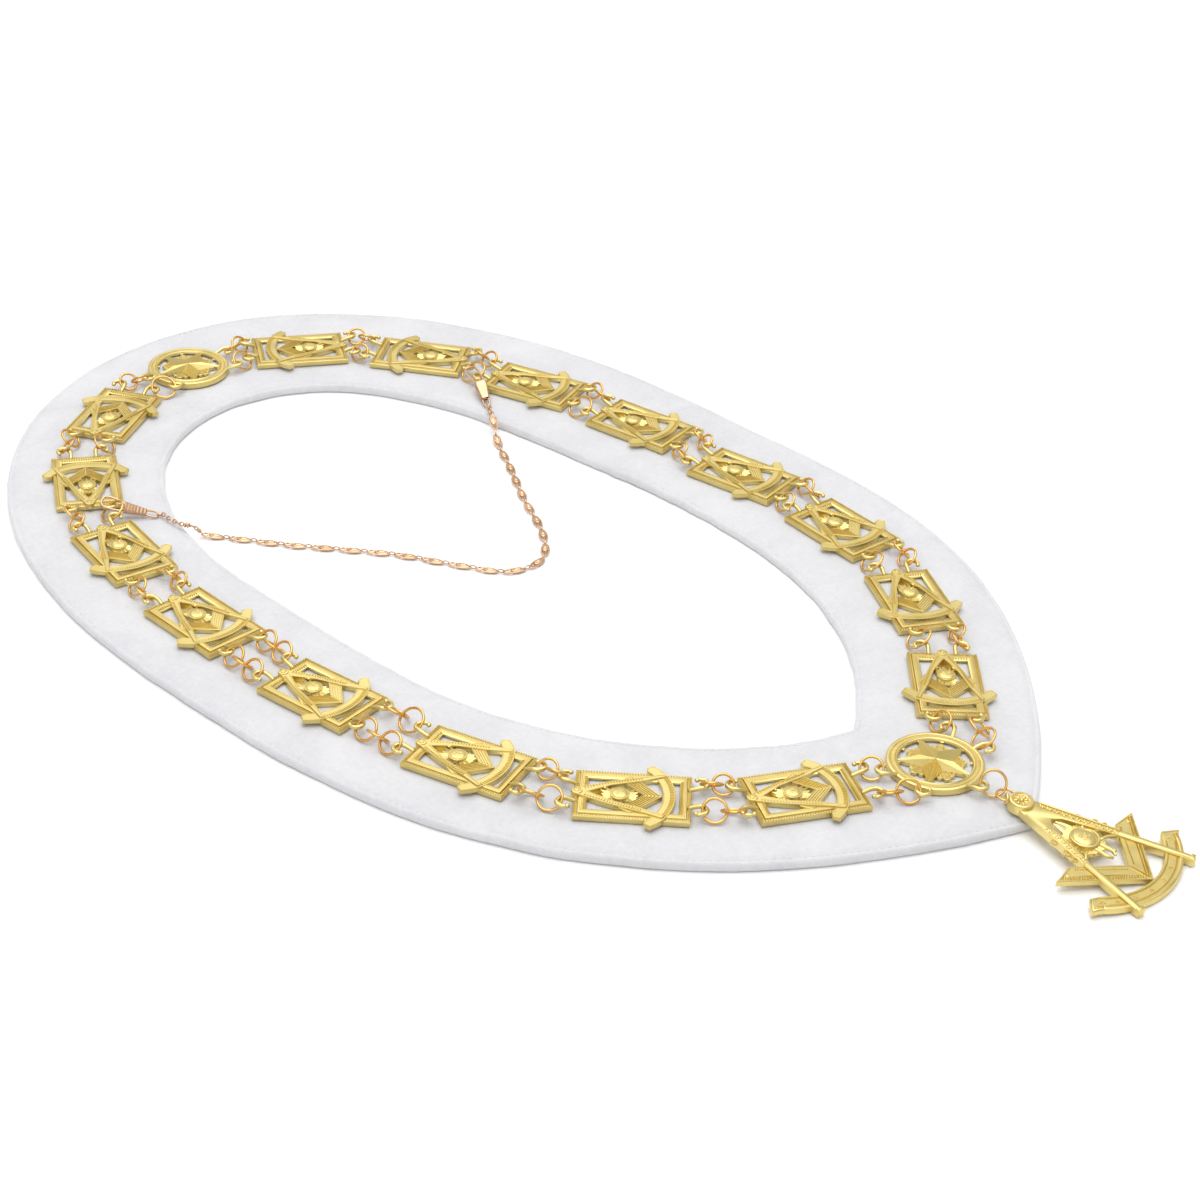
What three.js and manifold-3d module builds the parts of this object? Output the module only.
// A ceremonial chain collar laid out flat: a padded white velvet collar, sixteen openwork
// square-and-compass links and two round star medallions joined by pairs of jump rings,
// a large square-and-compass jewel at the front, and a fine chain between two clasps.
// Units are millimetres, +Z is up. The table is z = 0. The front point is towards -Y,
// the nape towards +Y, and the wearer's opening is in the middle.
import * as THREE from 'three';
import { mergeVertices } from 'three/addons/utils/BufferGeometryUtils.js';
import Module from 'manifold-3d';

const wasm = await Module();
wasm.setup();

// ---------------------------------------------------------------- driving dimensions
const VELVET_T = 4.5;          // padded velvet, top to bottom
const GAP = 0.3;               // clearance kept between pieces that only rest on each other
const VELVET_CENTRE = [-3, 0]; // centre of the polar table below
const TIP_TURN = 0.72;         // the front point lies this many degrees off -Y
const LINK_W = 25.4, LINK_L = 38.8; // a link, across and along the chain
const LINK_RAIL = 4.0, LINK_BAR = 3.9;
const LINK_T = 2.6;            // plate thickness
const MED_R = 16.85;           // medallion radius
const HOOK_R = 2.45, HOOK_WIRE = 0.6, HOOK_OUT = 2.9, HOOK_SIDE = 7.4;
const RING_R = 3.95, RING_WIRE = 0.45, RING_ROLL = 42;
const CHAIN_D = 2.3;           // fine chain, over its links
const JEWEL_TURN = 4.6, JEWEL_TILT = 5.2;
const BASE = VELVET_T + GAP;   // underside of what lies on the velvet
const HOOK_Z = VELVET_T + 3.6;  // height of the hooks' wire

// Velvet outline: angle from the front point (degrees, towards +X), outer and inner radius.
const VELVET = [
  // deg, outer, inner
  [0, 238.8, 163.0], [5, 228.4, 154.8], [15, 210.5, 138.6], [30, 189.3, 116.2],
  [45, 172.3, 97.8], [60, 157.3, 85.1], [75, 146.1, 78.0], [90, 142.1, 75.6],
  [105, 148.1, 77.1], [120, 163.2, 84.5], [135, 184.7, 100.3], [150, 209.4, 126.8],
  [165, 228.4, 154.8], [180, 232.2, 165.4], [195, 222.9, 158.0], [210, 205.5, 138.6],
  [225, 185.6, 117.2], [240, 168.2, 100.3], [255, 156.4, 91.0], [270, 152.1, 88.5],
  [285, 156.3, 91.7], [300, 167.3, 99.8], [315, 182.1, 112.0], [330, 198.4, 127.7],
  [345, 215.9, 146.3], [355, 230.0, 158.3], [360, 238.8, 163.0],
];
// Velvet cross-section: inset from the edge and height, from the bottom up to the top.
const VELVET_EDGE = [[0.9, 0], [0, 1.0], [0, 3.2], [1.1, 4.5]];

// Links: side, number, x, y, direction from the front towards the nape (degrees).
const LINKS = [
  ['r', 1, 41.4, -171.7, 42.8], ['r', 2, 77.5, -129.1, 57.9], ['r', 3, 99.0, -77.8, 82.3],
  ['r', 4, 103.1, -24.2, 96.9], ['r', 5, 103.8, 32.2, 97.5], ['r', 6, 96.2, 86.8, 106.9],
  ['r', 7, 79.7, 138.8, 122.8], ['r', 8, 45.5, 178.5, 145.7],
  ['l', 1, -45.6, -177.7, 149.5], ['l', 2, -88.6, -139.6, 130.1], ['l', 3, -113.5, -88.0, 105.9],
  ['l', 4, -122.4, -24.7, 95.8], ['l', 5, -122.1, 39.3, 87.9], ['l', 6, -113.3, 96.9, 77.9],
  ['l', 7, -90.9, 148.5, 56.2], ['l', 8, -48.8, 185.5, 27.9],
];
const TURNED = [7, 8];         // these links lie with the compass head towards the front
const FRONT = { x: 0, y: -197.5, star: 62, hooks: { ro: -25, ri: 25, lo: 205, li: 155, jewel: -94.2 } };
const NAPE = { x: 0, y: 197.5, star: 100, hooks: { ro: -4, ri: -42, lo: 175, li: 215 } };

// ---------------------------------------------------------------- small helpers
const rad = THREE.MathUtils.degToRad;
const v2 = (x, y) => new THREE.Vector2(x, y);
const v3 = (x, y, z) => new THREE.Vector3(x, y, z);

function toSolid(geometry) {
  const g = geometry.clone();
  g.deleteAttribute('normal'); g.deleteAttribute('uv');
  const m = mergeVertices(g, 1e-4);
  const idx = m.index ? m.index.array : Uint32Array.from({ length: m.attributes.position.count }, (_, i) => i);
  return new wasm.Manifold(new wasm.Mesh({
    numProp: 3, vertProperties: new Float32Array(m.attributes.position.array), triVerts: new Uint32Array(idx),
  }));
}
function toGeometry(solid) {
  const m = solid.getMesh();
  const g = new THREE.BufferGeometry();
  g.setAttribute('position', new THREE.BufferAttribute(new Float32Array(m.vertProperties), 3));
  g.setIndex(new THREE.BufferAttribute(new Uint32Array(m.triVerts), 1));
  g.computeVertexNormals();
  return g;
}
function union(geometries) {
  let s = toSolid(geometries[0]);
  for (const g of geometries.slice(1)) s = s.add(toSolid(g));
  return toGeometry(s);
}
// A flat plate from an outline, between two heights.
function plate(points, z0, z1, hole) {
  const shape = new THREE.Shape(points.map(([x, y]) => v2(x, y)));
  if (hole) shape.holes.push(new THREE.Path(hole.map(([x, y]) => v2(x, y))));
  const g = new THREE.ExtrudeGeometry(shape, { depth: z1 - z0, bevelEnabled: false });
  g.translate(0, 0, z0);
  return g;
}
const rect = (x0, y0, x1, y1) => [[x0, y0], [x1, y0], [x1, y1], [x0, y1]];
const polygon = (n, r, cx = 0, cy = 0, turn = 0) =>
  Array.from({ length: n }, (_, i) => [cx + r * Math.cos(rad(turn) + i * 2 * Math.PI / n), cy + r * Math.sin(rad(turn) + i * 2 * Math.PI / n)]);
// Mirrors the right half of an outline (listed from the top round to the bottom) onto the left.
const mirrored = (half) => half.concat(half.filter(([x]) => Math.abs(x) > 1e-6).reverse().map(([x, y]) => [-x, y]));
// A star of n points: alternating outer and inner radii.
const star = (n, ro, ri, cx, cy, turn) =>
  Array.from({ length: 2 * n }, (_, i) => {
    const r = i % 2 ? ri : ro, a = rad(turn) + i * Math.PI / n;
    return [cx + r * Math.cos(a), cy + r * Math.sin(a)];
  });
// A round bar swept along points, with a section of the given number of sides.
function rod(points, r, sides, steps) {
  const path = new THREE.CatmullRomCurve3(points, false, 'centripetal');
  const shape = new THREE.Shape(polygon(sides, r, 0, 0, 180 / sides).map(([x, y]) => v2(x, y)));
  return new THREE.ExtrudeGeometry(shape, { steps, extrudePath: path, bevelEnabled: false });
}
// A wire ring: centre, radius, wire radius, and the two axes of its plane.
function ring(c, R, r, e1, e2, seg = 9, sides = 3, turn = 0) {
  const g = new THREE.TorusGeometry(R, r, sides, seg);
  g.rotateZ(rad(turn));
  const m = new THREE.Matrix4().makeBasis(e1, e2, new THREE.Vector3().crossVectors(e1, e2));
  m.setPosition(c);
  return g.applyMatrix4(m);
}
// A C-shaped wire hook. (0,0) is its hole's centre, -Y is towards the plate it grows from.
function hook(side) {
  const k = side; // +1: the ball end is on +X
  const pts = [[-2.45, -3.5, -0.95], [-2.45, -0.8, -0.2], [-1.65, 1.75, 0], [0, 2.45, 0], [1.65, 1.75, 0], [2.45, -0.7, 0]];
  return rod(pts.map(([x, y, z]) => v3(k * x, y, z)), HOOK_WIRE, 4, 6);
}

// ---------------------------------------------------------------- velvet collar
// Catmull-Rom interpolation of the polar table, one-sided at the front point.
function velvetRadius(deg, col) {
  const n = VELVET.length;
  let i = 0;
  while (i < n - 2 && VELVET[i + 1][0] <= deg) i++;
  const a = VELVET[i], b = VELVET[i + 1];
  const slope = (j) => {
    if (j <= 0) return (VELVET[1][col] - VELVET[0][col]) / (VELVET[1][0] - VELVET[0][0]);
    if (j >= n - 1) return (VELVET[n - 1][col] - VELVET[n - 2][col]) / (VELVET[n - 1][0] - VELVET[n - 2][0]);
    return (VELVET[j + 1][col] - VELVET[j - 1][col]) / (VELVET[j + 1][0] - VELVET[j - 1][0]);
  };
  const h = b[0] - a[0], t = (deg - a[0]) / h, t2 = t * t, t3 = t2 * t;
  return (2 * t3 - 3 * t2 + 1) * a[col] + (t3 - 2 * t2 + t) * h * slope(i)
    + (-2 * t3 + 3 * t2) * b[col] + (t3 - t2) * h * slope(i + 1);
}
function velvet() {
  const stations = [];
  for (let d = 0; d < 360; d += (d < 15 || d >= 345) ? 3 : 6) stations.push(d);
  const section = (ro, ri) => [
    ...VELVET_EDGE.map(([inset, z]) => [ro - inset, z]),
    ...VELVET_EDGE.slice().reverse().map(([inset, z]) => [ri + inset, z]),
  ];
  const pos = [], idx = [], m = VELVET_EDGE.length * 2, n = stations.length;
  for (const d of stations) {
    const a = rad(-90 + TIP_TURN + d);
    for (const [r, z] of section(velvetRadius(d, 1), velvetRadius(d, 2))) {
      pos.push(VELVET_CENTRE[0] + r * Math.cos(a), VELVET_CENTRE[1] + r * Math.sin(a), z);
    }
  }
  for (let i = 0; i < n; i++) for (let j = 0; j < m; j++) {
    const a = i * m + j, b = i * m + (j + 1) % m, c = ((i + 1) % n) * m + (j + 1) % m, e = ((i + 1) % n) * m + j;
    idx.push(a, e, b, b, e, c);
  }
  const g = new THREE.BufferGeometry();
  g.setAttribute('position', new THREE.BufferAttribute(new Float32Array(pos), 3));
  g.setIndex(idx);
  g.computeVertexNormals();
  return g;
}

// ---------------------------------------------------------------- links
function link() {
  const w = LINK_W / 2, l = LINK_L / 2, top = LINK_T;
  const frame = plate(rect(-w, -l, w, l), 0, top, rect(-w + LINK_RAIL, -l + LINK_BAR, w - LINK_RAIL, l - LINK_BAR - 0.5));
  // quadrant arc whose pentagonal ends stand past the side rails
  const arcPts = [];
  for (let k = -2; k <= 2; k++) arcPts.push([24 * Math.sin(rad(16.5 * k)), 9.75 - 24 * Math.cos(rad(16.5 * k))]);
  arcPts.push([16.5, -5.9], [15, -4.0]);
  for (let k = 2; k >= -2; k--) arcPts.push([19.7 * Math.sin(rad(20.5 * k)), 9.75 - 19.7 * Math.cos(rad(20.5 * k))]);
  arcPts.push([-15, -4.0], [-16.5, -5.9]);
  const arc = plate(arcPts, 0, top);
  const compass = plate(mirrored([
    [1.9, 18.4], [6.1, 8.0], [9.6, -3.0], [12.1, -9.9], [10.9, -10.9], [7.3, -2.8], [3.9, 7.6], [0, 14.8],
  ]), 0, 3.3);
  const head = plate(rect(-1.9, 16.4, 1.9, 20.4), 0, 3.3);
  const square = plate(mirrored([[0, -5.2], [8.6, 3.9], [10.4, 0.7], [0, -9.8]]), 0, top);
  const sun = plate(polygon(8, 5.2, 0, 4.5, 22.5), 0, top);
  const parts = [union([frame, arc, compass, head, square, sun])];
  for (const end of [1, -1]) for (const side of [1, -1]) {
    const h = hook(side * end);
    if (end < 0) h.rotateZ(Math.PI);
    h.translate(side * HOOK_SIDE, end * (l + HOOK_OUT), HOOK_Z - BASE);
    parts.push(h);
  }
  return union(parts);
}

// ---------------------------------------------------------------- medallions
function medallion(spec) {
  const outline = polygon(20, MED_R), inner = polygon(20, 12.9);
  const rim = plate(outline, 0, 2.9, inner);
  const parts = [rim, plate(star(5, 14.2, 6.2, 0, 0, spec.star), 0.4, 2.2)];
  parts.push(plate(star(5, 13.4, 5.0, 0, 0, spec.star + 36), 0.4, 1.6));
  parts.push(plate(polygon(8, 3.4), 0.4, 3.2));
  parts.splice(0, parts.length, union(parts));
  for (const [name, deg] of Object.entries(spec.hooks)) {
    const h = hook(name === 'jewel' || name === 'ri' || name === 'lo' ? -1 : 1);
    h.translate(0, MED_R + HOOK_OUT, 0);
    h.rotateZ(rad(deg - 90));
    h.translate(0, 0, HOOK_Z - BASE);
    parts.push(h);
  }
  return union(parts);
}

// ---------------------------------------------------------------- where the hooks are
const holes = { front: {}, nape: {} };
for (const [key, spec] of [['front', FRONT], ['nape', NAPE]]) {
  for (const [name, deg] of Object.entries(spec.hooks)) {
    const r = MED_R + HOOK_OUT;
    holes[key][name] = v2(spec.x + r * Math.cos(rad(deg)), spec.y + r * Math.sin(rad(deg)));
  }
}
for (const [side, n, x, y, deg] of LINKS) {
  const d = v2(Math.cos(rad(deg)), Math.sin(rad(deg)));
  const out = v2(d.y, -d.x).multiplyScalar(side === 'r' ? 1 : -1);
  for (const [end, s] of [['a', -1], ['b', 1]]) for (const [row, k] of [['o', 1], ['i', -1]]) {
    holes[`${side}${n}${end}${row}`] = v2(x, y).addScaledVector(d, s * (LINK_L / 2 + HOOK_OUT)).addScaledVector(out, k * HOOK_SIDE);
  }
}
// Runs of jump rings, from hook hole to hook hole, outer row and inner row.
const RUNS = [];
for (const side of ['r', 'l']) for (const row of ['o', 'i']) {
  RUNS.push([`rings_${side}0${row}`, holes.front[side + row], holes[`${side}1a${row}`], side, row]);
  for (let n = 1; n < 8; n++) RUNS.push([`rings_${side}${n}${row}`, holes[`${side}${n}b${row}`], holes[`${side}${n + 1}a${row}`], side, row]);
  RUNS.push([`rings_${side}8${row}`, holes[`${side}8b${row}`], holes.nape[side + row], side, row]);
}
function ringRun(a, b, side) {
  const d = a.distanceTo(b);
  const n = d <= 10.6 ? 1 : d <= 16.4 ? 2 : 3;
  const R = n === 1 ? THREE.MathUtils.clamp(d / 2, 3.7, 5.3) : n === 2 ? Math.max(Math.min(RING_R, (d - 3.7) / 2), (d + 0.5) / 4) : RING_R;
  const e = b.clone().sub(a).normalize();
  // the plane holds the run's axis and rises towards the opening
  const inward = v2(-e.y, e.x).multiplyScalar(side === 'r' ? 1 : -1);
  const e1 = v3(e.x, e.y, 0);
  const roll = Math.min(rad(RING_ROLL), Math.asin(2.85 / R));
  const e2 = v3(inward.x * Math.cos(roll), inward.y * Math.cos(roll), Math.sin(roll));
  const rings = [];
  for (let i = 0; i < n; i++) {
    const s = n === 1 ? d / 2 : R + (d - 2 * R) * i / (n - 1);
    rings.push(ring(v3(a.x + e.x * s, a.y + e.y * s, HOOK_Z), R, RING_WIRE, e1, e2, 8, 3));
  }
  return union(rings);
}

// ---------------------------------------------------------------- the large jewel
// Drawn head at the origin, pointing to -Y, underside at z = 0.
const EYE = [0, 5.3, 1.1], EYE_TURN = 40;
const JEWEL_HEAD = [0.6, -232.1], JEWEL_LOW = -57, JEWEL_FLOOR = 0.15;
const jewelBase = (y) => JEWEL_FLOOR + (y - JEWEL_LOW) * Math.sin(rad(JEWEL_TILT));
function jewel() {
  const parts = [];
  // compass: one A-shaped plate, the two legs joined under the round head
  parts.push(plate(mirrored([
    [3.4, 1.0], [4.6, -4.0], [18.9, -54.6], [18.0, -56.6], [16.2, -55.0], [0, -11.5],
  ]), 0, 3.0));
  parts.push(plate(polygon(14, 4.3, 0, 0, 0), 0, 4.2));
  // square, lying point down under the legs
  parts.push(plate(mirrored([[0, -51.0], [24.9, -28.8], [15.2, -27.9], [0, -41.5]]), 0, 2.0));
  // quadrant arc between the legs' ends, with pointed tips
  const arc = [];
  for (let k = -5; k <= 5; k++) arc.push([36.0 * Math.sin(rad(9.2 * k)), -21.2 - 36.0 * Math.cos(rad(9.2 * k))]);
  arc.push([37.4 * Math.sin(rad(51.3)), -21.2 - 37.4 * Math.cos(rad(51.3))]);
  for (let k = 4; k >= -4; k--) arc.push([29.6 * Math.sin(rad(11.4 * k)), -21.2 - 29.6 * Math.cos(rad(11.4 * k))]);
  arc.push([-37.4 * Math.sin(rad(51.3)), -21.2 - 37.4 * Math.cos(rad(51.3))]);
  parts.push(plate(arc, 0, 2.0));
  // sun disc with its rays between the legs
  parts.push(plate(star(9, 9.0, 5.0, 0, -24.5, -90), 0.4, 2.4));
  parts.push(plate(polygon(12, 5.2, 0, -24.5, 0), 0.6, 3.8));
  // sprigs standing out past both legs
  for (const [x, y] of [[-9.4, -18.0], [-11.3, -23.8], [-12.2, -27.0], [9.2, -16.9], [11.1, -22.2], [12.1, -25.4]]) {
    parts.push(plate(polygon(7, 1.9, x, y, 10), 0.6, 2.6));
  }
  const body = union(parts);
  // upright eye at the head's top, turned towards the large ring
  const a = rad(EYE_TURN);
  const eye = ring(v3(...EYE), 1.55, 0.55, v3(Math.cos(a), Math.sin(a), 0), v3(0, 0, 1), 10, 5);
  const stem = plate([[-1.9, 3.0], [0.2, 3.0], [-0.4, 4.9], [-1.5, 4.4]], 0.2, 2.0);
  return union([body, stem, eye]);
}

// ---------------------------------------------------------------- fine chain and clasps
// Route of the fine chain: x, y, height of its middle.
const CHAIN_TABLE = 1.25, CHAIN_VELVET = VELVET_T + 1.45;
const CHAIN_ROUTE = [
  // x, y, z
  [-84.6, 109.0, CHAIN_VELVET], [-84.9, 104.6, CHAIN_VELVET], [-84.3, 99.8, CHAIN_VELVET], [-83.0, 96.5, CHAIN_VELVET],
  [-81.3, 95.0, 5.3], [-79.9, 94.2, 3.6], [-78.3, 93.2, 1.9], [-76.2, 91.3, CHAIN_TABLE], [-73.5, 86.9, CHAIN_TABLE],
  [-70.0, 82.0, CHAIN_TABLE], [-59.3, 66.0, CHAIN_TABLE],
  [-45.4, 47.9, CHAIN_TABLE], [-33.7, 32.0, CHAIN_TABLE], [-22.6, 11.5, CHAIN_TABLE], [-12.7, -4.6, CHAIN_TABLE],
  [-7.4, -7.6, CHAIN_TABLE], [0.2, -8.9, CHAIN_TABLE], [8.3, -5.3, CHAIN_TABLE], [19.2, 7.0, CHAIN_TABLE],
  [31.4, 28.5, CHAIN_TABLE], [46.9, 52.6, CHAIN_TABLE], [53.6, 64.0, CHAIN_TABLE], [56.8, 69.2, 1.8], [59.2, 72.8, 3.9],
  [62.6, 77.6, CHAIN_VELVET + 0.4], [66.2, 82.6, CHAIN_VELVET], [69.0, 86.4, CHAIN_VELVET],
];
function fineChain() {
  const path = new THREE.CatmullRomCurve3(CHAIN_ROUTE.map(([x, y, z]) => v3(x, y, z)), false, 'centripetal');
  const shape = new THREE.Shape(polygon(6, CHAIN_D / 2, 0, 0, 0).map(([x, y]) => v2(x, y)));
  return new THREE.ExtrudeGeometry(shape, { steps: 100, extrudePath: path, bevelEnabled: false });
}
// A clasp, from the end of its body at the fine chain to the middle of its wide loop:
// a wide wire loop round a jump ring, a tapered ribbed sleeve and a narrow loop for the chain.
const CLASP_BODY_T = 2.0, CLASP_WIRE = 0.45, WIDE = 2.4, NARROW = [1.35, 2.4];
const CLASPS = {
  // name: narrow end of the sleeve, its wide end, the wide loop's middle (x, y, z each),
  // the sleeve's half width at both ends
  clasp_left: [[-88.8, 114.0, 6.4], [-95.0, 120.0, 8.6], [-97.05, 123.7, 9.4], [1.5, 2.7]],
  clasp_right: [[72.6, 92.3, 6.4], [77.9, 101.0, 9.1], [80.35, 106.85, 9.3], [1.9, 2.8]],
};
function clasp([p0, p1, p2, [w0, w1]]) {
  const a = v3(...p0), b = v3(...p1), c = v3(...p2);
  const frameAt = (from, to) => {
    const dir = to.clone().sub(from).normalize(), side = v3(dir.y, -dir.x, 0).normalize();
    return new THREE.Matrix4().makeBasis(side, dir, new THREE.Vector3().crossVectors(side, dir)).setPosition(from);
  };
  // an oval wire loop: a torus stretched along Y, its wire kept round
  const oval = (w, l, y, seg) => {
    const g = new THREE.TorusGeometry(10, CLASP_WIRE, 4, seg), p = g.attributes.position;
    for (let i = 0; i < p.count; i++) {
      const a = Math.atan2(p.getY(i), p.getX(i)), off = Math.hypot(p.getX(i), p.getY(i)) - 10;
      const n = v2(Math.cos(a) / w, Math.sin(a) / l).normalize();
      p.setXYZ(i, w * Math.cos(a) + off * n.x, y + l * Math.sin(a) + off * n.y, p.getZ(i));
    }
    return g;
  };
  const len = a.distanceTo(b), reach = b.distanceTo(c);
  const sleeve = union([
    plate([[-w0, 0], [w0, 0], [w1, len], [-w1, len]], -CLASP_BODY_T / 2, CLASP_BODY_T / 2),
    oval(...NARROW, -NARROW[1] + 0.4, 10),
  ]).applyMatrix4(frameAt(a, b));
  const wide = oval(WIDE, reach + 0.25, reach, 12).applyMatrix4(frameAt(b, c));
  return union([sleeve, wide]);
}

// ---------------------------------------------------------------- materials
const velvetMat = new THREE.MeshStandardMaterial({ color: 0xe9e8ef, roughness: 0.95, metalness: 0.0 });
const goldMat = new THREE.MeshStandardMaterial({ color: 0xd9bd63, roughness: 0.32, metalness: 1.0 });
const ringMat = new THREE.MeshStandardMaterial({ color: 0xd79a45, roughness: 0.22, metalness: 1.0 });
const roseMat = new THREE.MeshStandardMaterial({ color: 0xc98d63, roughness: 0.25, metalness: 1.0 });

// ---------------------------------------------------------------- assembly
const collar = new THREE.Group();
function put(name, geometry, material, x = 0, y = 0, z = 0, turn = 0) {
  const mesh = new THREE.Mesh(geometry, material);
  mesh.name = name;
  mesh.position.set(x, y, z);
  mesh.rotation.z = turn;
  collar.add(mesh);
  return mesh;
}
put('velvet_collar', velvet(), velvetMat);
const linkGeometry = link();
for (const [side, n, x, y, deg] of LINKS) {
  put(`link_${side}${n}`, linkGeometry, goldMat, x, y, BASE, rad(deg - 90 + (TURNED.includes(n) ? 180 : 0)));
}
put('medallion_front', medallion(FRONT), goldMat, FRONT.x, FRONT.y, BASE);
put('medallion_nape', medallion(NAPE), goldMat, NAPE.x, NAPE.y, BASE);
for (const [name, a, b, side] of RUNS) put(name, ringRun(a, b, side), ringMat);

const jewelMesh = put('jewel', jewel(), goldMat, JEWEL_HEAD[0], JEWEL_HEAD[1], jewelBase(0));
jewelMesh.rotation.set(0, 0, 0);
jewelMesh.quaternion.setFromAxisAngle(v3(0, 0, 1), rad(JEWEL_TURN))
  .multiply(new THREE.Quaternion().setFromAxisAngle(v3(1, 0, 0), rad(JEWEL_TILT)));

// Jewel connector: a large ring standing on the velvet, leaning back, and a small flat ring.
const BIG_R = 4.5, BIG_LEAN = 55;
const bigE1 = v3(0.666, -0.746, 0), bigE2 = v3(0.746 * Math.cos(rad(BIG_LEAN)), 0.666 * Math.cos(rad(BIG_LEAN)), Math.sin(rad(BIG_LEAN)));
const bigZ = VELVET_T + 0.3 + RING_WIRE + BIG_R * Math.sin(rad(BIG_LEAN));
{
  const hole = holes.front.jewel, s = (HOOK_Z - bigZ) / (BIG_R * Math.sin(rad(BIG_LEAN))), c = -Math.sqrt(1 - s * s);
  const centre = v3(hole.x, hole.y, HOOK_Z).addScaledVector(bigE1, -BIG_R * c).addScaledVector(bigE2, -BIG_R * s);
  const big = ring(centre, BIG_R, RING_WIRE, bigE1, bigE2, 14, 4);
  const eye = v3(...EYE).applyQuaternion(jewelMesh.quaternion).add(jewelMesh.position);
  // the small ring lies flat from the jewel's eye to where the large ring passes its height
  const sp = (eye.z - bigZ) / (BIG_R * Math.sin(rad(BIG_LEAN)));
  const pass = centre.clone().addScaledVector(bigE1, BIG_R * Math.sqrt(1 - sp * sp)).addScaledVector(bigE2, BIG_R * sp);
  const along = pass.clone().sub(eye), R = along.length() / 2;
  along.normalize();
  const small = ring(eye.clone().addScaledVector(along, R), R, 0.4, along, v3(-along.y, along.x, 0), 10, 4);
  put('jewel_rings', union([big, small]), ringMat);
}
put('fine_chain', fineChain(), roseMat);
for (const [name, row] of Object.entries(CLASPS)) put(name, clasp(row), roseMat);

// The origin: the middle of the whole collar in plan, at the velvet's underside.
collar.updateMatrixWorld(true);
const bounds = new THREE.Box3().setFromObject(collar, true);
const middle = bounds.getCenter(new THREE.Vector3());
for (const piece of collar.children) {
  piece.position.x -= middle.x;
  piece.position.y -= middle.y;
}

export default collar;
